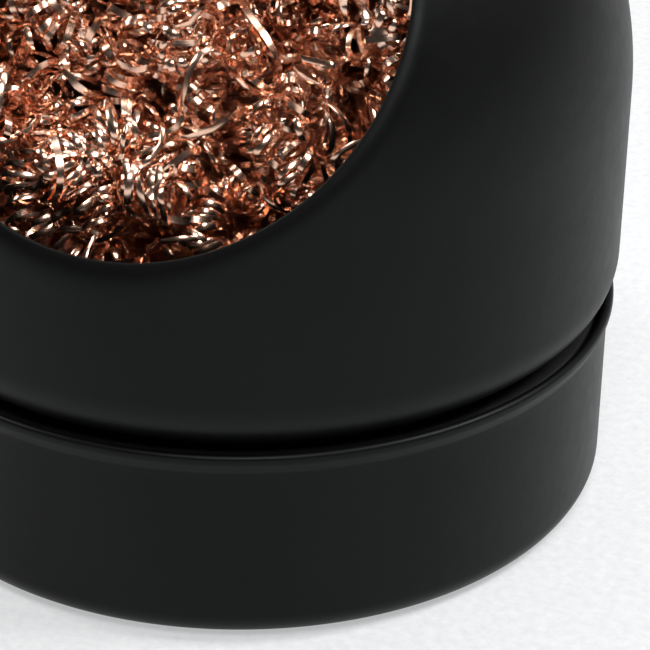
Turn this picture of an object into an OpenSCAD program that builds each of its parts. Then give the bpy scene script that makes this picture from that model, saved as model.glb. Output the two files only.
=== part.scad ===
// Dry tip cleaner for a soldering iron. A domed sheet housing with a tilted round mouth
// stands in a short base cup. Metal ribbon wool fills it from the crumb tray to the mouth.
// The housing turns in its rubber band, and pulls off upwards to empty the tray.
// Millimetres, +Z up. The origin is the middle of the foot, and the mouth faces -Y.

/* [Housing] */
// Outer radius of the housing
housing_r = 40; // [39.5:0.5:41]
// Thickness of the pressed sheet of the housing and the cup
sheet_t = 1; // [0.8:0.1:1.2]
// Height of the dome's centre
dome_z = 44.8; // [42:0.2:48]
// Height of the housing's lowest edge
housing_edge_z = 20.8; // [20.8:0.1:21.6]
// Radius of the turned-in lower edge
edge_curl_r = 6; // [5.6:0.1:6.1]

/* [Mouth] */
// Radius of the clear mouth
mouth_r = 25.1; // [22:0.1:26]
// Angle of the mouth's axis above the bench
mouth_tilt = 34; // [30:1:45]
// Radius of the lip turned in around the mouth
lip_r = 3; // [2:0.1:3.5]

/* [Base cup] */
// Outer radius of the cup's wall
cup_r = 39.2; // [39:0.1:39.4]
// Radius of the cup's rounded bottom edge
cup_edge_r = 3; // [2:0.1:3]
// Height of the middle of the cup's rounded rim
rim_z = 21.1; // [20.8:0.1:21.4]
// How far the rim flares out from the wall
rim_flare = 0.55; // [0.3:0.05:0.7]
// Height of the flare
flare_h = 1.3; // [1:0.1:2]
// Height of the cup's bottom edge above the bench
cup_z = 0.2; // [0.1:0.1:0.5]
// How far the middle of the cup's floor is pressed up, to make room for the foot
floor_rise = 1; // [0.9:0.1:1.5]

/* [Friction fit] */
// Outer radius of the sleeve
sleeve_r = 35.6; // [35.2:0.1:35.6]
// Thickness of the sleeve
sleeve_t = 0.9; // [0.7:0.1:0.9]
// Radial gap between the band and the parts that it runs in
band_gap = 0.05; // [0.03:0.01:0.08]
// Height of the band's lower end
band_z = 12.5; // [11:0.5:13.5]
// Height of the band's upper end
band_top_z = 20.4; // [20:0.1:20.6]
// Height of the gripping bead round the band
band_bead_h = 2.4; // [1.6:0.2:3]

/* [Crumb tray] */
// Outer radius of the tray's wall
tray_r = 34; // [33.6:0.1:34]
// Thickness of the tray's sheet
tray_t = 0.6; // [0.5:0.1:0.8]
// Height of the tray's rim
tray_top_z = 16; // [13:0.5:18]
// Radius of the tray's rounded bottom edge
tray_edge_r = 2.5; // [1.5:0.1:3]

/* [Wool] */
// Radius of the wool
wool_r = 32.8; // [30:0.1:32.8]
// Depth of the wool's face under the mouth
wool_depth = 4; // [3.5:0.5:8]
// Gap between the wool and the top of the dome
wool_top_gap = 2; // [1:0.5:4]

/* [Weight and foot] */
// Radius of the ballast plate
ballast_r = 35.4; // [30:0.1:35.4]
// Thickness of the ballast plate
ballast_t = 4; // [3:0.5:4]
// Number of screws that hold the ballast plate
screw_count = 3; // [2:1:6]
// Distance of the screws from the axis
screw_ring_r = 20; // [12:0.5:24]
// Radius of the screws' shanks
screw_r = 1.5; // [1.2:0.1:2]
// Radius of the screws' heads
screw_head_r = 2.8; // [2.4:0.1:3.4]
// Inner radius of the rubber foot ring
foot_inner_r = 27; // [26:0.5:30]
// Outer radius of the rubber foot ring
foot_outer_r = 34; // [32:0.5:34]

/* [Hidden] */
$fn = 128;
// Smallest gap that keeps two resting parts from sharing a face
rest_gap = 0.1;
// Overlap that joins the pieces of one solid
weld = 0.05;
// Radius of the recess under the cup's floor, which the foot ring stands in with some room
recess_r = foot_outer_r + 0.4;
// Height of the cup's raised floor inside
floor_z = cup_z + floor_rise + sheet_t;
// Height of the ballast plate's top
ballast_top_z = floor_z + ballast_t;
// Half-angle of the cone, from the dome's centre, inside which the lip begins
lip_angle = asin(mouth_r / (housing_r - lip_r));
// Distance from the dome's centre to the lip's edge, along the mouth's axis
mouth_d = (housing_r - lip_r) * cos(lip_angle) + lip_r;
// Height of the middle of the curl at the housing's lower edge
curl_z = housing_edge_z + edge_curl_r;
// Height of the flange at the top of the sleeve
flange_z = housing_edge_z + 1.5;
// Radius of the flange, where it meets the curled edge
flange_r = housing_r - edge_curl_r
           + sqrt(pow(edge_curl_r - sheet_t, 2) - pow(curl_z - flange_z, 2)) - weld;
// Thickness of the mouth's lip, which ends inside the dome's sheet
lip_t = sheet_t - 2 * weld;
// Height of the tray's underside
tray_z = ballast_top_z + rest_gap;
// Radius of the hem at the tray's rim
tray_hem_r = 0.5;
// Radius of the wool's lower edge
wool_edge_r = 4;
// Radial gap between a screw and the cup's floor
screw_gap = 0.1;
// Height of a screw's head, and depth of its cross slots
head_h = 0.7;
slot_h = 0.3;
// Length of a screw's tip that stays below the top of the ballast plate
screw_end_gap = 0.5;

// A ring with a rectangular section
module ring(outer_r, inner_r, low_z, high_z) {
    translate([0, 0, low_z])
        difference() {
            cylinder(h = high_z - low_z, r = outer_r);
            translate([0, 0, -1])
                cylinder(h = high_z - low_z + 2, r = inner_r);
        }
}

// Turns +Z to the mouth's axis, about the dome's centre
module at_mouth() {
    translate([0, 0, dome_z])
        rotate([90 - mouth_tilt, 0, 0])
            children();
}

// Half section of a round solid with a rounded bottom edge
module puck_section(r, edge_r, low_z, high_z) {
    translate([0, low_z])
        square([r - edge_r, high_z - low_z]);
    translate([0, low_z + edge_r])
        square([r, high_z - low_z - edge_r]);
    translate([r - edge_r, low_z + edge_r])
        circle(r = edge_r);
}

// Half section of a pressed dish of the thickness t, open at the top
module dish_section(r, edge_r, t, low_z, high_z) {
    difference() {
        puck_section(r, edge_r, low_z, high_z);
        puck_section(r - t, edge_r - t, low_z + t, 2 * high_z);
    }
}

// Dome and upright wall, as a solid of the radius r
module dome_solid(r, low_z) {
    intersection() {
        translate([0, 0, dome_z])
            sphere(r = r);
        translate([0, 0, dome_z])
            cylinder(h = r + 1, r = r + 1);
    }
    translate([0, 0, low_z])
        cylinder(h = dome_z - low_z, r = r);
}

// Lip of the mouth: a sheet ring curled in until it lies square to the mouth's axis
module mouth_lip() {
    at_mouth()
        rotate_extrude()
            translate([mouth_r, mouth_d - lip_r])
                intersection() {
                    difference() {
                        circle(r = lip_r - weld);
                        circle(r = lip_r - weld - lip_t);
                    }
                    polygon([[0, 0], [0, 2 * lip_r], [2 * lip_r * tan(lip_angle + 2), 2 * lip_r]]);
                }
}

// Sheet of the lower edge, a quarter round that turns in under the wall
module curled_edge() {
    rotate_extrude()
        intersection() {
            translate([housing_r - edge_curl_r, curl_z])
                difference() {
                    circle(r = edge_curl_r);
                    circle(r = edge_curl_r - sheet_t);
                }
            translate([sleeve_r, housing_edge_z - 1])
                square([housing_r, edge_curl_r + 1]);
        }
}

module housing_shell() {
    color("#1c1c1d") {
        difference() {
            dome_solid(housing_r, curl_z);
            dome_solid(housing_r - sheet_t, curl_z - 1);
            at_mouth()
                cylinder(h = 2 * housing_r, r1 = 0, r2 = 2 * housing_r * tan(lip_angle));
        }
        curled_edge();
        mouth_lip();
    }
}

// Spigot under the housing. Its flange lies on the curled edge from inside.
module housing_sleeve() {
    color("#3a3b3d") {
        ring(sleeve_r, sleeve_r - sleeve_t, ballast_top_z + rest_gap, flange_z + weld);
        ring(flange_r, sleeve_r - sleeve_t, flange_z, flange_z + sleeve_t);
    }
}

// Rubber band with a bead that grips the mouth of the cup
module friction_band() {
    inner_r = sleeve_r + band_gap;
    mouth_wall_r = cup_r - sheet_t - band_gap;
    color("#0c0c0c")
        rotate_extrude()
            polygon([
                [inner_r, band_z],
                [mouth_wall_r - 0.6, band_z],
                [mouth_wall_r - 0.6, band_top_z - 2 * band_bead_h],
                [mouth_wall_r, band_top_z - band_bead_h],
                [mouth_wall_r, band_top_z - 0.3],
                [mouth_wall_r - 0.3, band_top_z],
                [inner_r, band_top_z]
            ]);
}

// The wool: a plug with a domed top and a flat tilted face under the mouth
module cleaning_wool() {
    color("#b4704a")
        intersection() {
            rotate_extrude()
                puck_section(wool_r, wool_edge_r, tray_z + tray_t + rest_gap, 2 * housing_r);
            union() {
                translate([0, 0, dome_z])
                    sphere(r = housing_r - sheet_t - wool_top_gap);
                cylinder(h = dome_z, r = wool_r + 1);
            }
            at_mouth()
                translate([0, 0, mouth_d - wool_depth - 4 * housing_r])
                    cylinder(h = 4 * housing_r, r = 4 * housing_r);
        }
}

// Pressed dish with a rolled rim
module debris_tray() {
    color("#b9bcc0")
        rotate_extrude()
            union() {
                dish_section(tray_r, tray_edge_r, tray_t, tray_z, tray_top_z - tray_hem_r);
                translate([tray_r - tray_t / 2, tray_top_z - tray_hem_r])
                    circle(r = tray_hem_r);
            }
}

// Places its children on each screw
module at_screws() {
    for (i = [0 : screw_count - 1])
        rotate([0, 0, i * 360 / screw_count + 90])
            translate([screw_ring_r, 0, 0])
                children();
}

module ballast_plate() {
    color("#6d6f72")
        difference() {
            translate([0, 0, floor_z])
                cylinder(h = ballast_t, r = ballast_r);
            at_screws()
                translate([0, 0, floor_z - 1])
                    cylinder(h = ballast_t + 2, r = screw_r);
        }
}

// Flat-headed screws, driven up through the cup's floor into the ballast plate
module ballast_screws() {
    head_z = cup_z + floor_rise - head_h;
    color("#a9acb0")
        at_screws()
            difference() {
                union() {
                    translate([0, 0, head_z])
                        cylinder(h = head_h, r = screw_head_r);
                    translate([0, 0, head_z])
                        cylinder(h = ballast_top_z - screw_end_gap - head_z, r = screw_r);
                }
                for (turn = [0, 90])
                    translate([0, 0, head_z])
                        rotate([0, 0, turn])
                            cube([1.3 * screw_head_r, 0.6, 2 * slot_h], center = true);
            }
}

// Half section of the cup's rim, which flares out and ends in a round edge
module rim_section() {
    rim_r = cup_r - sheet_t / 2 + rim_flare;
    polygon([
        [cup_r - sheet_t, rim_z - flare_h],
        [cup_r, rim_z - flare_h],
        [rim_r + sheet_t / 2, rim_z],
        [rim_r - sheet_t / 2, rim_z]
    ]);
    translate([rim_r, rim_z])
        circle(r = sheet_t / 2);
}

// Half section of the cup: a dish whose floor is raised in the middle
module cup_section() {
    difference() {
        union() {
            dish_section(cup_r, cup_edge_r, sheet_t, cup_z, rim_z - flare_h);
            translate([0, cup_z])
                square([recess_r + sheet_t, floor_rise + sheet_t]);
        }
        translate([-1, cup_z - 1])
            square([recess_r + 1, floor_rise + 1]);
    }
    rim_section();
}

// Pressed cup with a flared rim and a clearance hole for each screw
module base_cup() {
    color("#1e1e1f")
        difference() {
            rotate_extrude()
                cup_section();
            at_screws()
                cylinder(h = 2 * floor_z, r = screw_r + screw_gap);
        }
}

module foot_ring() {
    color("#141414")
        ring(foot_outer_r, foot_inner_r, 0, cup_z + floor_rise);
}

housing_shell();
housing_sleeve();
friction_band();
cleaning_wool();
debris_tray();
ballast_plate();
ballast_screws();
base_cup();
foot_ring();
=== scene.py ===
import bmesh
import bpy
import math
import numpy as np
from mathutils import Matrix, Vector


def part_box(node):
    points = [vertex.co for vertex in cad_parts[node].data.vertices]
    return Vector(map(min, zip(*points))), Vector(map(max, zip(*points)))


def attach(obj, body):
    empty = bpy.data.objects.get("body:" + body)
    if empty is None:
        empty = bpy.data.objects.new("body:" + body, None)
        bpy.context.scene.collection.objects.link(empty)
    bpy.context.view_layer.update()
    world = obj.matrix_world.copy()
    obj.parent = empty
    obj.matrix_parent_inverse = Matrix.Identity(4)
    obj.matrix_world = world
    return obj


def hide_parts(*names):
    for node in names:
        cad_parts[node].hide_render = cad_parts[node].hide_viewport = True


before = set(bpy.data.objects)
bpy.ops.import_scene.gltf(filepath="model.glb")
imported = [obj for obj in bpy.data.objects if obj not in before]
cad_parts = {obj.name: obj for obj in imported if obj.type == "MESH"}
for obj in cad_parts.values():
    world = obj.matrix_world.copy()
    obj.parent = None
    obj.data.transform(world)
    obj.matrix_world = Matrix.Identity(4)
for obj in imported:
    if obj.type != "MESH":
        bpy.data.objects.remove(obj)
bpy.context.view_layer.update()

# Driving dimensions of the part that its boxes don't give, in metres
MM = 0.001
SHEET = 1.0 * MM            # sheet of the housing and the cup
TILT = math.radians(34)     # the mouth's axis above the bench
MOUTH_R = 25.1 * MM
LIP_R = 3.0 * MM            # lip turned in around the mouth
CURL_R = 6.0 * MM           # turned-in lower edge of the housing
SLEEVE_R = 35.6 * MM
BAND_GAP = 0.05 * MM
BAND_BEAD_H = 2.4 * MM
CUP_EDGE_R = 3.0 * MM
RIM_FLARE = 0.55 * MM
TRAY_T = 0.6 * MM
TRAY_HEM_R = 0.5 * MM
TRAY_EDGE_R = 2.5 * MM
FOOT_ROOM = 0.4 * MM        # between the foot ring and the recess that it stands in
WOOL_DEPTH = 4.0 * MM       # of the wool's face under the mouth
WOOL_TOP_GAP = 2.0 * MM

MOUTH_AXIS = np.array([0, -math.cos(TILT), math.sin(TILT)])
MOUTH_UP = np.array([0, math.sin(TILT), math.cos(TILT)])


def box(node):
    lo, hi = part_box(node)
    return np.array(lo), np.array(hi)


def dome():
    """Radius and centre of the housing's dome."""
    lo, hi = box("housing_shell")
    R = (hi[0] - lo[0]) / 2
    return R, np.array([0, 0, hi[2] - R])


def mouth(R):
    """Half-angle at which the lip begins, and distance of the lip's edge from the dome's centre."""
    lip_a = math.asin(MOUTH_R / (R - LIP_R))
    return lip_a, (R - LIP_R) * math.cos(lip_a) + LIP_R


# ---------------------------------------------------------------- mesh helpers

def make_object(name, verts, quads, smooth=True, uv=None):
    """A linked object from arrays of points and of four-sided faces."""
    verts = np.ascontiguousarray(verts, np.float32).reshape(-1, 3)
    quads = np.ascontiguousarray(quads, np.int32).reshape(-1, 4)
    me = bpy.data.meshes.new(name)
    me.vertices.add(len(verts))
    me.vertices.foreach_set("co", verts.ravel())
    me.loops.add(quads.size)
    me.loops.foreach_set("vertex_index", quads.ravel())
    me.polygons.add(len(quads))
    me.polygons.foreach_set("loop_start", np.arange(0, quads.size, 4, dtype=np.int32))
    me.polygons.foreach_set("loop_total", np.full(len(quads), 4, np.int32))
    me.polygons.foreach_set("use_smooth", np.full(len(quads), smooth))
    if uv is not None:
        layer = me.uv_layers.new(name="UVMap")
        layer.data.foreach_set("uv", np.ascontiguousarray(uv[quads.ravel()], np.float32).ravel())
    me.update(calc_edges=True)
    me.validate()
    ob = bpy.data.objects.new(name, me)
    bpy.context.scene.collection.objects.link(ob)
    return ob


def grid_quads(nu, nv):
    """Faces of a grid of nu by nv points that closes on itself both ways."""
    a, b = np.meshgrid(np.arange(nu), np.arange(nv), indexing="ij")
    a2, b2 = (a + 1) % nu, (b + 1) % nv
    return np.stack([a * nv + b, a2 * nv + b, a2 * nv + b2, a * nv + b2], -1).reshape(-1, 4)


def arc(cr, cz, r, a0, a1, n):
    """Points on an arc about (cr, cz), with its angles in degrees."""
    a = np.radians(np.linspace(a0, a1, n))
    return np.stack([cr + r * np.cos(a), cz + r * np.sin(a)], -1)


def ease(t):
    """From 0 to 1 with level ends."""
    t = np.clip(t, 0, 1)
    return t * t * (3 - 2 * t)


def line(p, q, n):
    t = np.linspace(0, 1, n)[:, None]
    return (1 - t) * np.array(p, float) + t * np.array(q, float)


def lathe(name, profile, segments=256):
    """A round solid from its half section, a closed loop of (r, z)."""
    p = np.array(profile, float)
    keep = np.ones(len(p), bool)
    keep[1:] = np.linalg.norm(p[1:] - p[:-1], axis=1) > 1e-7
    p = p[keep]
    if np.linalg.norm(p[0] - p[-1]) < 1e-7:
        p = p[:-1]
    a = np.linspace(0, 2 * np.pi, segments, endpoint=False)
    r = np.maximum(p[:, 0], 0)
    v = np.stack([np.outer(np.cos(a), r), np.outer(np.sin(a), r), np.tile(p[:, 1], (segments, 1))], -1)
    ob = make_object(name, v, grid_quads(segments, len(p)))
    # close the surface where the section meets the axis
    bm = bmesh.new()
    bm.from_mesh(ob.data)
    bmesh.ops.remove_doubles(bm, verts=[x for x in bm.verts if x.co.xy.length < 1e-6], dist=1e-6)
    axis = [f for f in bm.faces if all(x.co.xy.length < 1e-6 for x in f.verts)]
    bmesh.ops.delete(bm, geom=axis, context="FACES")
    bmesh.ops.recalc_face_normals(bm, faces=bm.faces)
    bm.to_mesh(ob.data)
    bm.free()
    return ob


def finish_piece(ob, body, material, node):
    ob.data.materials.append(material)
    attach(ob, body)
    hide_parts(node)


# ---------------------------------------------------------------- materials

class Nodes:
    """Builds a material's node tree, from procedural textures in the object's own coordinates."""

    def __init__(self, name):
        self.mat = bpy.data.materials.new(name)
        self.mat.use_nodes = True
        self.t = self.mat.node_tree
        self.bsdf = self.t.nodes["Principled BSDF"]
        self.co = self.add("ShaderNodeTexCoord").outputs["Object"]

    def add(self, kind, **values):
        n = self.t.nodes.new(kind)
        for k, v in values.items():
            setattr(n, k, v)
        return n

    def link(self, a, b):
        self.t.links.new(a, b)

    def noise(self, scale, detail=2.0, rough=0.5, co=None):
        n = self.add("ShaderNodeTexNoise")
        n.inputs["Scale"].default_value = scale
        n.inputs["Detail"].default_value = detail
        n.inputs["Roughness"].default_value = rough
        self.link(co or self.co, n.inputs["Vector"])
        return n.outputs["Fac"]

    def ramp(self, fac, stops):
        n = self.add("ShaderNodeValToRGB")
        e = n.color_ramp.elements
        while len(e) > 1:
            e.remove(e[-1])
        e[0].position, e[0].color = stops[0][0], stops[0][1]
        for pos, col in stops[1:]:
            x = e.new(pos)
            x.color = col
        self.link(fac, n.inputs["Fac"])
        return n.outputs["Color"]

    def remap(self, fac, lo, hi, a=0.0, b=1.0):
        """The range a to b of fac, made into the range lo to hi."""
        n = self.add("ShaderNodeMapRange")
        n.inputs["From Min"].default_value = a
        n.inputs["From Max"].default_value = b
        n.inputs["To Min"].default_value = lo
        n.inputs["To Max"].default_value = hi
        self.link(fac, n.inputs["Value"])
        return n.outputs["Result"]

    def mix(self, fac, a, b):
        n = self.add("ShaderNodeMix", data_type="RGBA")
        for sock, v in ((n.inputs[0], fac), (n.inputs[6], a), (n.inputs[7], b)):
            if isinstance(v, bpy.types.NodeSocket):
                self.link(v, sock)
            else:
                sock.default_value = v
        return n.outputs[2]

    def bump(self, height, strength, distance, normal=None):
        n = self.add("ShaderNodeBump")
        n.inputs["Strength"].default_value = strength
        n.inputs["Distance"].default_value = distance
        self.link(height, n.inputs["Height"])
        if normal is not None:
            self.link(normal, n.inputs["Normal"])
        return n.outputs["Normal"]

    def set(self, **values):
        for k, v in values.items():
            s = self.bsdf.inputs[k.replace("_", " ")]
            if isinstance(v, bpy.types.NodeSocket):
                self.link(v, s)
            else:
                s.default_value = v


def grey(v):
    return (v, v, v, 1.0)


def satin_black(name, offset):
    """Satin paint. Its textures are shifted by the offset, so that two pieces don't look alike."""
    m = Nodes(name)
    mp = m.add("ShaderNodeMapping")
    mp.inputs["Location"].default_value = (offset, offset * 0.7, 0)
    m.link(m.co, mp.inputs["Vector"])
    co = mp.outputs["Vector"]
    cloud = m.noise(60, 4, 0.55, co)
    tone = m.ramp(cloud, [(0.3, grey(0.0016)), (0.7, grey(0.0028))])
    # dust: a pale speck, 0.2 to 0.4 mm across, in one texture cell out of seven
    vor = m.add("ShaderNodeTexVoronoi", feature="F1")
    vor.inputs["Scale"].default_value = 120
    m.link(co, vor.inputs["Vector"])
    sep = m.add("ShaderNodeSeparateColor")
    m.link(vor.outputs["Color"], sep.inputs["Color"])
    pick = m.add("ShaderNodeMath", operation="GREATER_THAN")
    m.link(sep.outputs["Red"], pick.inputs[0])
    pick.inputs[1].default_value = 0.86
    near = m.remap(vor.outputs["Distance"], 1, 0, 0.012, 0.024)
    speck = m.add("ShaderNodeMath", operation="MULTIPLY")
    m.link(pick.outputs[0], speck.inputs[0])
    m.link(near, speck.inputs[1])
    col = m.mix(speck.outputs[0], tone, (0.035, 0.035, 0.033, 1))
    peel = m.noise(2600, 3, 0.6, co)
    wave = m.noise(260, 2, 0.5, co)
    n1 = m.bump(wave, 0.10, 0.0004)
    n2 = m.bump(peel, 0.16, 0.00006, n1)
    m.set(Base_Color=col, Roughness=m.remap(m.noise(500, 3, 0.6, co), 0.37, 0.49), Normal=n2)
    # a low index keeps the sheen as faint as on the real paint
    m.bsdf.inputs["IOR"].default_value = 1.235
    m.bsdf.inputs["Specular Tint"].default_value = (0.93, 1.0, 0.96, 1)
    return m.mat


def copper_wool():
    m = Nodes("copper_ribbon")
    tone = m.ramp(m.noise(130, 3, 0.6), [(0.30, (0.91, 0.51, 0.35, 1)), (0.50, (0.94, 0.58, 0.42, 1)),
                                         (0.70, (0.96, 0.69, 0.55, 1))])
    # fine lines along each ribbon, from its run in U
    uv = m.add("ShaderNodeTexCoord").outputs["UV"]
    mp = m.add("ShaderNodeMapping")
    mp.inputs["Scale"].default_value = (40, 9000, 1)
    m.link(uv, mp.inputs["Vector"])
    lines = m.noise(1.0, 2, 0.6, mp.outputs["Vector"])
    m.set(Base_Color=tone, Metallic=1.0, Roughness=m.remap(m.noise(400, 2, 0.5), 0.17, 0.28),
          Normal=m.bump(lines, 0.25, 0.00003))
    return m.mat


def rubber():
    m = Nodes("black_rubber")
    tone = m.ramp(m.noise(300, 4, 0.6), [(0.3, grey(0.004)), (0.75, grey(0.010))])
    m.set(Base_Color=tone, Roughness=m.remap(m.noise(900, 2), 0.62, 0.8),
          Normal=m.bump(m.noise(3000, 3), 0.3, 0.00005))
    m.bsdf.inputs["Specular IOR Level"].default_value = 0.3
    return m.mat


def brushed(name, base, low, high, scale=(300, 300, 9000), rough=(0.28, 0.42)):
    """Brushed metal, from low to high times the base colour. The larger the scale, the finer the lines."""
    m = Nodes(name)
    mp = m.add("ShaderNodeMapping")
    mp.inputs["Scale"].default_value = scale
    m.link(m.co, mp.inputs["Vector"])
    lines = m.noise(1.0, 3, 0.65, mp.outputs["Vector"])
    blot = m.noise(90, 4, 0.6)
    dark = [c * low for c in base] + [1]
    lite = [c * high for c in base] + [1]
    col = m.ramp(blot, [(0.3, dark), (0.7, lite)])
    m.set(Base_Color=col, Metallic=1.0, Roughness=m.remap(lines, rough[0], rough[1], 0.3, 0.7),
          Normal=m.bump(lines, 0.25, 0.00004))
    return m.mat


def cast_iron():
    m = Nodes("bare_iron")
    grain = m.noise(1500, 5, 0.7)
    col = m.ramp(m.noise(140, 5, 0.65), [(0.3, (0.10, 0.095, 0.09, 1)), (0.7, (0.20, 0.195, 0.19, 1))])
    m.set(Base_Color=col, Metallic=0.85, Roughness=m.remap(grain, 0.45, 0.7),
          Normal=m.bump(grain, 0.5, 0.0001))
    return m.mat


BLACK_TOP = satin_black("satin_black_housing", 0.013)
BLACK_CUP = satin_black("satin_black_cup", 0.157)
COPPER = copper_wool()
RUBBER = rubber()
TIN = brushed("tinned_steel", (0.62, 0.61, 0.58), 0.8, 1.05)
SLEEVE = brushed("sleeve_steel", (0.20, 0.20, 0.21), 0.75, 1.1, rough=(0.34, 0.5))
ZINC = brushed("zinc_screw", (0.66, 0.68, 0.70), 0.85, 1.05, scale=(4000, 4000, 300))
IRON = cast_iron()


# ---------------------------------------------------------------- housing shell

def build_housing():
    """
    The sheet as a closed grid. Each row starts at the lip's edge, and runs over the lip, along the
    dome and the wall, round the lower curl, and back along the inside.
    """
    R, C = dome()
    lip_a, mouth_d = mouth(R)
    lo, _ = box("housing_shell")
    curl_z = lo[2] + math.sqrt(CURL_R ** 2 - (SLEEVE_R - (R - CURL_R)) ** 2)
    n = MOUTH_AXIS
    npsi, n_lip, n_dome, n_curl, n_cap = 360, 14, 96, 14, 6     # rows, and points of a row's parts
    psi = np.linspace(0, 2 * np.pi, npsi, endpoint=False)
    q = np.cos(psi)[:, None] * np.array([1.0, 0, 0]) + np.sin(psi)[:, None] * MOUTH_UP

    def ray(theta):
        """Distance to the dome or the wall from the dome's centre, and the direction, at an angle."""
        u = np.cos(theta)[..., None] * n + np.sin(theta)[..., None] * (q if theta.ndim == 1 else q[:, None])
        down = np.minimum(u[..., 2], 0)
        return R / np.sqrt(1 - down ** 2), u

    # each row ends where it comes down to the top of the curl
    c = -(C[2] - curl_z) / math.hypot(C[2] - curl_z, R)
    A = math.sin(TILT)
    B = np.sin(psi) * math.cos(TILT)
    th_end = np.arctan2(B, A) + np.arccos(c / np.hypot(A, B))
    # the wall stands further out than the sphere where the mouth dips under the dome's equator
    rise = math.sin(TILT) * math.cos(lip_a) + np.sin(psi) * math.cos(TILT) * math.sin(lip_a)
    wider, whole_dip = math.radians(3.2), 0.15      # most that is added, and the dip that gets it
    th_b = lip_a + wider * ease(-rise / whole_dip)
    # the lip, a smooth curve from its edge to the dome
    edge = 0.22 * MM        # radius of the rounding on each side of its edge
    fullness = 1.035        # length of the curve's end tangents over its chord
    rho, _ = ray(th_b)
    eps = 1e-4
    rho2, _ = ray(th_b + eps)
    b0 = np.stack([rho * np.sin(th_b), rho * np.cos(th_b)], -1)
    b1 = np.stack([rho2 * np.sin(th_b + eps), rho2 * np.cos(th_b + eps)], -1)
    tb = (b1 - b0) / np.linalg.norm(b1 - b0, axis=1, keepdims=True)
    e0 = np.array([MOUTH_R + edge, mouth_d])
    chord = np.linalg.norm(b0 - e0, axis=1)[:, None] * fullness
    t = np.linspace(0, 1, n_lip, endpoint=False)[None, :, None]
    h00, h10 = 2 * t ** 3 - 3 * t ** 2 + 1, t ** 3 - 2 * t ** 2 + t
    h01, h11 = -2 * t ** 3 + 3 * t ** 2, t ** 3 - t ** 2
    te = np.array([1.0, 0.0])
    lip = h00 * e0 + h10 * (chord[:, None] * te) + h01 * b0[:, None] + h11 * (chord[:, None] * tb[:, None])
    lip3 = C + lip[..., 1:2] * n + lip[..., 0:1] * q[:, None]
    th = th_b[:, None] + (th_end - th_b)[:, None] * np.linspace(0, 1, n_dome)
    rho, u = ray(th)
    dome3 = C + rho[..., None] * u
    az = np.arctan2(dome3[:, -1, 1], dome3[:, -1, 0])
    a_end = math.acos((SLEEVE_R - (R - CURL_R)) / CURL_R)
    # the curl, on the azimuths at which the rows arrive
    al = np.linspace(0, a_end, n_curl)[1:]
    rr = (R - CURL_R) + CURL_R * np.cos(al)
    zz = curl_z - CURL_R * np.sin(al)
    curl3 = np.stack([np.cos(az)[:, None] * rr, np.sin(az)[:, None] * rr, np.tile(zz, (npsi, 1))], -1)
    out = np.concatenate([lip3, dome3, curl3], 1)
    # the inside lies one sheet thickness under the outside
    dpsi = np.roll(out, -1, 0) - np.roll(out, 1, 0)
    ds = np.gradient(out, axis=1)
    nrm = np.cross(dpsi, ds)
    nrm /= np.linalg.norm(nrm, axis=-1, keepdims=True)
    on_dome = n_lip + 6
    if (nrm[:, on_dome] * (out[:, on_dome] - C)).sum() < 0:
        nrm = -nrm
    inner = out - SHEET * nrm
    # the rounded free edge of the lip
    T = ds[:, 0] / np.linalg.norm(ds[:, 0], axis=-1, keepdims=True)
    ang = np.linspace(0, np.pi / 2, n_cap)[1:]
    cap_o = [out[:, 0] - T * edge * math.sin(a) - nrm[:, 0] * edge * (1 - math.cos(a)) for a in ang]
    cap_i = [inner[:, 0] - T * edge * math.sin(a) + nrm[:, 0] * edge * (1 - math.cos(a)) for a in ang]
    loop = np.concatenate([np.stack(cap_o[::-1], 1), out, inner[:, ::-1], np.stack(cap_i, 1)], 1)
    ob = make_object("housing_shell_skin", loop, grid_quads(npsi, loop.shape[1])[:, ::-1])
    finish_piece(ob, "housing", BLACK_TOP, "housing_shell")


def build_cup():
    lo, hi = box("base_cup")
    rim_out = (hi[0] - lo[0]) / 2
    z0 = lo[2]
    z1 = box("ballast_plate")[0][2] - SHEET
    rec = box("foot_ring")[1][0] + FOOT_ROOM
    ct = SHEET / 2
    rim_z = hi[2] - ct
    R = rim_out - RIM_FLARE
    fr = CUP_EDGE_R
    e = 0.25 * MM           # rounding of the recess's corners
    f0, f1 = rim_z - 1.75 * MM, rim_z - 0.25 * MM       # bottom and top of the flare
    t = np.linspace(0, 1, 14)
    flare = np.stack([R + RIM_FLARE * ease(t), f0 + (f1 - f0) * t], -1)
    inside = flare[::-1] - np.array([SHEET, 0])
    prof = np.concatenate([
        line((0, z1), (rec, z1), 20),
        line((rec, z1), (rec, z0 + e), 4)[1:-1],
        arc(rec + e, z0 + e, e, 180, 270, 5),
        line((rec + e, z0), (R - fr, z0), 4)[1:-1],
        arc(R - fr, z0 + fr, fr, -90, 0, 18),
        line((R, z0 + fr), (R, f0), 14)[1:-1],
        flare,
        arc(rim_out - ct, rim_z, ct, 0, 180, 15),
        inside,
        line((R - SHEET, f0), (R - SHEET, z0 + fr), 12)[1:-1],
        arc(R - fr, z0 + fr, fr - SHEET, 0, -90, 12),
        line((rec + SHEET, z0 + SHEET), (rec + SHEET, z1 + SHEET - e), 3),
        arc(rec + SHEET - e, z1 + SHEET - e, e, 0, 90, 5),
        line((rec + SHEET - e, z1 + SHEET), (0, z1 + SHEET), 16)[1:],
    ])
    ob = lathe("base_cup_skin", prof, 320)
    finish_piece(ob, "base", BLACK_CUP, "base_cup")


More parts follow.
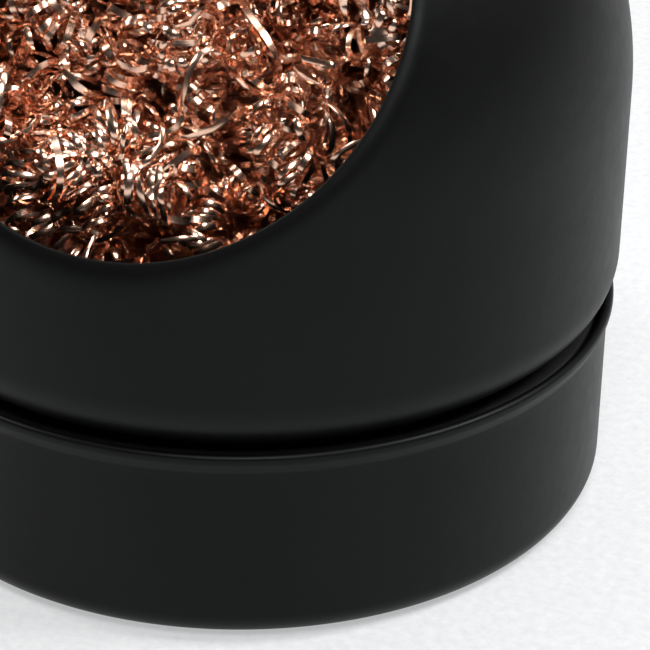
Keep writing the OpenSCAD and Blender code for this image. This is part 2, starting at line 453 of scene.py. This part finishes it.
def build_band():
    lo, hi = box("friction_band")
    outer = hi[0]
    inner = SLEEVE_R + BAND_GAP
    bead = BAND_BEAD_H
    neck = outer - 0.6 * MM                 # radius under the bead
    small, large = 0.2 * MM, 0.45 * MM      # rounding of the corners, and of the bead's upper one
    z0, z1 = lo[2], hi[2]
    prof = np.concatenate([
        line((inner, z0), (neck - small, z0), 3),
        arc(neck - small, z0 + small, small, -90, 0, 5),
        line((neck, z0 + 0.3 * MM), (neck, z1 - 2 * bead), 3),
        line((neck, z1 - 2 * bead), (outer, z1 - bead), 8),
        line((outer, z1 - bead), (outer, z1 - large), 4),
        arc(outer - large, z1 - large, large, 0, 90, 8),
        line((outer - large, z1), (inner + small, z1), 4),
        arc(inner + small, z1 - small, small, 90, 180, 5),
        line((inner, z1 - small), (inner, z0), 6),
    ])
    ob = lathe("friction_band_skin", prof, 256)
    finish_piece(ob, "band", RUBBER, "friction_band")


def build_tray():
    lo, hi = box("debris_tray")
    t, hem, er = TRAY_T, TRAY_HEM_R, TRAY_EDGE_R
    R = hi[0] - hem + t / 2
    z0, z1 = lo[2], hi[2]
    prof = np.concatenate([
        line((0, z0), (R - er, z0), 16)[:-1],
        arc(R - er, z0 + er, er, -90, 0, 12),
        line((R, z0 + er), (R, z1 - 2 * hem), 8)[1:],
        arc(R - t / 2, z1 - hem, hem, -60, 240, 20),
        line((R - t, z1 - 2 * hem), (R - t, z0 + er), 8),
        arc(R - er, z0 + er, er - t, 0, -90, 10)[1:],
        line((R - er, z0 + t), (0, z0 + t), 16)[1:],
    ])
    ob = lathe("debris_tray_skin", prof, 256)
    finish_piece(ob, "tray", TIN, "debris_tray")


# ---------------------------------------------------------------- ribbon wool

def build_wool():
    """
    Curled flat ribbon, laid as loose coils all through the outer layer of the wool. All lengths in
    here are in millimetres.
    """
    lo, hi = (v / MM for v in box("cleaning_wool"))
    R, C = (v / MM for v in dome())
    wool_r, z_low = hi[0], lo[2]
    top_r = R - (SHEET + WOOL_TOP_GAP) / MM
    n = MOUTH_AXIS
    face = (mouth(R * MM)[1] - WOOL_DEPTH) / MM

    wave = np.random.default_rng(5)
    wave_k = wave.normal(size=(7, 3)) * 0.42
    wave_a = wave.uniform(0, 2 * np.pi, 7)

    def hollow(p):
        """From 0 on the clumps, about a centimetre across, to 1 in the pockets between them."""
        return 0.5 + 0.5 * np.tanh(2.0 * np.sin(p @ wave_k.T + wave_a).sum(-1) / 2.6)

    def pockets(p):
        """How deep the face lies sunk in: the pockets, and a fall towards the lower lip."""
        return 3.6 * hollow(p) + 3.8 * ease((-((p - C) @ MOUTH_UP) - 16.0) / 7.0)

    def sd(p, slack=0.0):
        """Signed distance to the wool's outside, negative inside. Slack lets the face stand proud."""
        rho = np.hypot(p[..., 0], p[..., 1])
        q = p - C
        a = rho - wool_r
        ball = np.where(q[..., 2] > 0, np.linalg.norm(q, axis=-1) - top_r, -99.0)
        return np.maximum.reduce([a, ball, z_low - p[..., 2], q @ n - face + pockets(p) - slack])

    def grad(p, slack=0.0):
        e = 0.05
        g = np.stack([sd(p + d, slack) - sd(p - d, slack) for d in e * np.eye(3)], -1)
        return g / (np.linalg.norm(g, axis=-1, keepdims=True) + 1e-9)

    rng = np.random.default_rng(11)
    V, F, U = [], [], []
    step = 0.5              # along a path
    half_t = 0.04           # half the ribbon's thickness, without its crown
    per_turn = 18           # points on one turn of a coil
    proud = 1.3             # how far single curls may stand out of the face
    sample_top_z = 83       # above the top of the wool
    mouth_depth, mouth_reach = 13, 30

    def strands(number, layer, rad, pitch, length, width, jitter, pick):
        """
        Ribbons that coil about wandering paths. Each of the pairs gives a lowest and a highest value:
        the depth at which a path starts, the coil's radius and pitch, the path's length, and the
        ribbon's width. Pick says which start points are allowed.
        """
        r0 = rng.uniform(rad[0], rad[1], number)
        pts = np.zeros((0, 3))
        while len(pts) < number:
            c = rng.uniform([-wool_r, -wool_r, z_low], [wool_r, wool_r, sample_top_z], (number * 6, 3))
            d = sd(c)
            pts = np.concatenate([pts, c[(d < -layer[0]) & (d > -layer[1]) & pick(c)]])
        # the paths wander along the layer and turn back from its two sides
        p = pts[:number]
        steps = int(length[1] / step)
        d = rng.normal(size=(number, 3))
        g = grad(p)
        d -= 0.75 * (d * g).sum(-1, keepdims=True) * g
        d /= np.linalg.norm(d, axis=-1, keepdims=True)
        path = [p.copy()]
        dirs = [d.copy()]
        turn = rng.normal(size=(number, 3)) * 0.05
        for _ in range(steps):
            g = grad(p)
            s = sd(p)
            out = np.clip((s + r0 * 0.9 + 0.7) / 1.5, 0, 1)[:, None]
            deep = np.clip((-s - layer[1]) / 2.0, 0, 1)[:, None]
            turn = 0.9 * turn + rng.normal(size=(number, 3)) * 0.05
            d = d + turn - 0.55 * out * g + 0.3 * deep * g
            d /= np.linalg.norm(d, axis=-1, keepdims=True)
            p = p + step * d
            path.append(p.copy())
            dirs.append(d.copy())
        path = np.stack(path, 1)
        dirs = np.stack(dirs, 1)
        for k in range(number):
            ns = int(rng.uniform(length[0], length[1]) / step)
            P, D = path[k, :ns + 1], dirs[k, :ns + 1]
            # pitch varies along the strand, with a pulled-out stretch now and then
            base = rng.uniform(pitch[0], pitch[1])
            var = np.interp(np.linspace(0, 1, ns + 1), np.linspace(0, 1, 6), rng.uniform(0.7, 1.5, 6))
            if rng.random() < 0.35:
                c0 = rng.uniform(0, 1)
                var *= 1 + 2.5 * np.exp(-((np.linspace(0, 1, ns + 1) - c0) / 0.12) ** 2)
            turns = np.concatenate([[0], np.cumsum(step / (base * var[1:]))])
            total = turns[-1]
            m = max(8, int(total * per_turn))
            # the path and its direction at each point of the coil
            ph = np.linspace(0, total, m)
            tt = np.interp(ph, turns, np.arange(ns + 1))
            i0 = np.clip(tt.astype(int), 0, ns - 1)
            f = (tt - i0)[:, None]
            A = P[i0] * (1 - f) + P[i0 + 1] * f
            X = D[i0] * (1 - f) + D[i0 + 1] * f
            X /= np.linalg.norm(X, axis=1, keepdims=True)
            ref = rng.normal(size=3)
            N = ref - X * (X @ ref)[:, None]
            N /= np.linalg.norm(N, axis=1, keepdims=True)
            B = np.cross(X, N)
            # slow wobbles of the place, the radius, the phase and the twist
            nk = max(3, int(total * 1.3) + 2)
            key = np.linspace(0, total, nk)
            wob = np.stack([np.interp(ph, key, rng.normal(size=nk)) for _ in range(6)], 1)
            rad_k = r0[k] * (1 + 0.16 * wob[:, 3])
            a = 2 * np.pi * ph + 0.3 * wob[:, 4]
            rd = np.cos(a)[:, None] * N + np.sin(a)[:, None] * B
            ell = 1 + 0.18 * np.cos(2 * (a + rng.uniform(0, 6)))
            Q = A + (rad_k * ell)[:, None] * rd + jitter * wob[:, :3]
            # smooth the corners left by the linear wobble
            for _ in range(2):
                Q[1:-1] = 0.25 * Q[:-2] + 0.5 * Q[1:-1] + 0.25 * Q[2:]
            # keep the ribbon inside the wool
            over = np.clip(sd(Q, proud) + 0.05, 0, None)
            Q = Q - over[:, None] * grad(Q, proud)
            # a flat section with slightly crowned faces, turned with the coil
            T = np.gradient(Q, axis=0)
            T /= np.linalg.norm(T, axis=1, keepdims=True) + 1e-9
            W = np.cross(T, rd)
            W /= np.linalg.norm(W, axis=1, keepdims=True) + 1e-9
            tw = 0.28 * wob[:, 5]
            Nf = np.cross(W, T)
            W = np.cos(tw)[:, None] * W + np.sin(tw)[:, None] * Nf
            Nf = np.cross(W, T)
            w = rng.uniform(width[0], width[1]) / 2
            side = 1 if rng.random() < 0.5 else -1
            crown = side * w * rng.uniform(0.08, 0.2)
            ring = np.stack([Q + w * W, Q + (crown + half_t) * Nf,
                             Q - w * W, Q + (crown - half_t) * Nf], 1)
            idx = sum(len(v) for v in V) + np.arange(m * 4).reshape(m, 4)
            near = np.stack([idx[:-1], np.roll(idx, -1, 1)[:-1]], -1)
            far = np.stack([np.roll(idx, -1, 1)[1:], idx[1:]], -1)
            sides = np.concatenate([near, far], -1).transpose(1, 0, 2).reshape(-1, 4)
            F.append(np.concatenate([sides, idx[0][None, ::-1], idx[-1][None]]))
            V.append(ring.reshape(-1, 3))
            run = np.concatenate([[0], np.cumsum(np.linalg.norm(np.diff(Q, axis=0), axis=1))]) * MM
            uv = np.stack([np.repeat(run, 4), np.tile([w * MM, 0, -w * MM, 0], m)], -1)
            uv[:, 0] += rng.uniform(0, 1)
            U.append(uv)

    def behind_mouth(c):
        q = c - C
        off_axis = np.linalg.norm(q - (q @ n)[..., None] * n, axis=-1)
        return (q @ n > face - mouth_depth) & (off_axis < mouth_reach)

    def at_mouth(c):
        """Behind the mouth, and mostly on the clumps."""
        return behind_mouth(c) & (hollow(c) < 0.52 + rng.exponential(0.14, len(c)))

    def elsewhere(c):
        return ~behind_mouth(c)

    def close(name):
        """Makes one piece of the ribbons laid since the last one."""
        ob = make_object(name, np.concatenate(V) * MM, np.concatenate(F), uv=np.concatenate(U))
        V.clear(), F.clear(), U.clear()
        me = ob.data
        # the two long edges of each ribbon are sharp, its faces are smooth
        ev = np.empty(len(me.edges) * 2, np.int32)
        me.edges.foreach_get("vertices", ev)
        a, b = ev[0::2], ev[1::2]
        sharp = (a % 4 == b % 4) & (a % 2 == 0)
        layer = me.attributes.new("sharp_edge", "BOOLEAN", "EDGE")
        layer.data.foreach_set("value", sharp)
        finish_piece(ob, "wool", COPPER, "cleaning_wool")

    # tight curls and a few loose loops in the mouth, and coarser ones everywhere else
    for i in range(4):
        strands(52, (1.2, 9.0), (1.1, 2.5), (0.75, 1.35), (8, 22), (0.54, 0.72), 0.3, at_mouth)
        strands(20, (1.6, 6.0), (2.0, 4.2), (2.4, 5.0), (10, 22), (0.52, 0.72), 0.7, at_mouth)
        close("wool_curls_mouth_%d" % (i + 1))
    for i in range(7):
        strands(75, (2.8, 8.0), (2.2, 3.6), (1.2, 2.2), (18, 36), (0.5, 0.7), 0.5, elsewhere)
        strands(9, (3.5, 8.0), (3.6, 5.0), (2.6, 5.0), (10, 24), (0.45, 0.65), 0.6, elsewhere)
        close("wool_curls_body_%d" % (i + 1))


build_housing()
build_cup()
build_band()
build_tray()
build_wool()

# pieces that keep their CAD mesh
for node, mat in (("housing_sleeve", SLEEVE), ("ballast_plate", IRON),
                  ("ballast_screws", ZINC), ("foot_ring", RUBBER)):
    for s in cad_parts[node].material_slots:
        s.material = mat


# ---------------------------------------------------------------- stage, light, camera

# The camera looks from the right of the mouth by this angle. Lights are placed to its right and front.
VIEW_TURN = math.radians(20.57)
RIGHT = Vector((math.cos(VIEW_TURN), math.sin(VIEW_TURN), 0))
FRONT = Vector((math.sin(VIEW_TURN), -math.cos(VIEW_TURN), 0))
BACK = (RIGHT * 0.25 - FRONT * 0.97).normalized()
TARGET = (0, 0, 0.03)


def build_stage():
    half = 3                # of the floor's side, in metres
    v = half * np.array([[-1, -1, 0], [1, -1, 0], [1, 1, 0], [-1, 1, 0]], float)
    ob = make_object("floor", v, np.array([[0, 1, 2, 3]]), smooth=False)
    m = Nodes("floor_white")
    grain = m.noise(900, 3, 0.7)
    m.set(Base_Color=m.ramp(grain, [(0.3, (0.31, 0.32, 0.335, 1)), (0.7, (0.42, 0.42, 0.415, 1))]),
          Roughness=0.65)
    # a translucent shooting table, lit a little from below
    m.set(Emission_Color=(0.98, 0.99, 1.0, 1), Emission_Strength=0.455)
    m.bsdf.inputs["Specular IOR Level"].default_value = 0.2
    ob.data.materials.append(m.mat)


def area(name, right, front, z, size, power, target=TARGET, color=(1, 1, 1)):
    """A square light, placed to the right and front of the object as the camera sees it."""
    ld = bpy.data.lights.new(name, "AREA")
    ld.shape = "RECTANGLE"
    ld.size = ld.size_y = size
    ld.energy = power
    ld.color = color
    ob = bpy.data.objects.new(name, ld)
    ob.location = right * RIGHT + front * FRONT + Vector((0, 0, z))
    ob.rotation_euler = (Vector(target) - ob.location).to_track_quat("-Z", "Y").to_euler()
    bpy.context.scene.collection.objects.link(ob)


def build_world():
    w = bpy.data.worlds.new("studio")
    bpy.context.scene.world = w
    w.use_nodes = True
    t = w.node_tree
    bg = t.nodes["Background"]
    co = t.nodes.new("ShaderNodeTexCoord").outputs["Generated"]

    def value(direction, stops):
        """Brightness by the angle to a direction. Stops run from -1, away from it, to 1."""
        dot = t.nodes.new("ShaderNodeVectorMath")
        dot.operation = "DOT_PRODUCT"
        t.links.new(co, dot.inputs[0])
        dot.inputs[1].default_value = direction
        mr = t.nodes.new("ShaderNodeMapRange")
        mr.inputs["From Min"].default_value, mr.inputs["From Max"].default_value = -1, 1
        t.links.new(dot.outputs["Value"], mr.inputs["Value"])
        ramp = t.nodes.new("ShaderNodeValToRGB")
        e = ramp.color_ramp.elements
        while len(e) > 1:
            e.remove(e[-1])
        e[0].position, e[0].color = (stops[0][0] + 1) / 2, stops[0][1]
        for pos, col in stops[1:]:
            x = e.new((pos + 1) / 2)
            x.color = col
        t.links.new(mr.outputs["Result"], ramp.inputs["Fac"])
        return ramp.outputs["Color"]

    # a pale room: white towards the backdrop and the right, dimmer over the viewer
    back = value(BACK, [(-0.9, grey(0.03)), (-0.3, grey(0.05)), (0.2, grey(0.18)),
                        (0.6, grey(0.36)), (0.9, grey(0.46))])
    band = value((0, 0, 1), [(0.0, grey(1.0)), (0.30, grey(0.7)), (0.55, grey(0.12)), (1.0, grey(0.06))])
    mul = t.nodes.new("ShaderNodeMix")
    mul.data_type, mul.blend_type = "RGBA", "MULTIPLY"
    mul.inputs[0].default_value = 1
    t.links.new(back, mul.inputs[6])
    t.links.new(band, mul.inputs[7])
    t.links.new(mul.outputs[2], bg.inputs["Color"])
    bg.inputs["Strength"].default_value = 1.0


def build_camera():
    """The view fitted to the photograph, turned round Z so that the mouth faces -Y."""
    climb, distance = math.radians(30.94), 282.41       # angle above the bench, and mm
    yaw, pitch, roll = (math.radians(a) for a in (2.12, 28.38, 0.94))
    loc = Vector((0, -distance * math.cos(climb), distance * math.sin(climb))) * MM
    fw = Vector((math.sin(yaw) * math.cos(pitch), math.cos(yaw) * math.cos(pitch), -math.sin(pitch)))
    rt = Vector((math.cos(yaw), -math.sin(yaw), 0))
    up = rt.cross(fw)
    rt2 = math.cos(roll) * rt + math.sin(roll) * up
    up2 = -math.sin(roll) * rt + math.cos(roll) * up
    rot = Matrix((rt2, up2, -fw)).transposed()
    turn = Matrix.Rotation(VIEW_TURN, 3, "Z")
    cd = bpy.data.cameras.new("camera")
    cd.lens = 140.04
    cd.sensor_width = 36
    cd.clip_start = 0.01
    cam = bpy.data.objects.new("camera", cd)
    cam.matrix_world = Matrix.Translation(turn @ loc) @ (turn @ rot).to_4x4()
    bpy.context.scene.collection.objects.link(cam)
    bpy.context.scene.camera = cam


build_stage()
build_world()
area("top", 0.1, -0.2, 0.95, 0.5, 2.2)
area("key", 0.68, 0.05, 0.84, 0.34, 8.8)
area("fill", 0.02, 0.55, 0.82, 0.30, 5.1)
area("left", -0.6, -0.15, 0.6, 0.3, 2.6, (-0.05, 0, 0.03), (1.0, 0.965, 0.94))
build_camera()
sc = bpy.context.scene
sc.view_settings.view_transform = "Standard"
sc.view_settings.look = "None"
sc.cycles.max_bounces = 12
sc.cycles.glossy_bounces = 4
sc.cycles.diffuse_bounces = 4
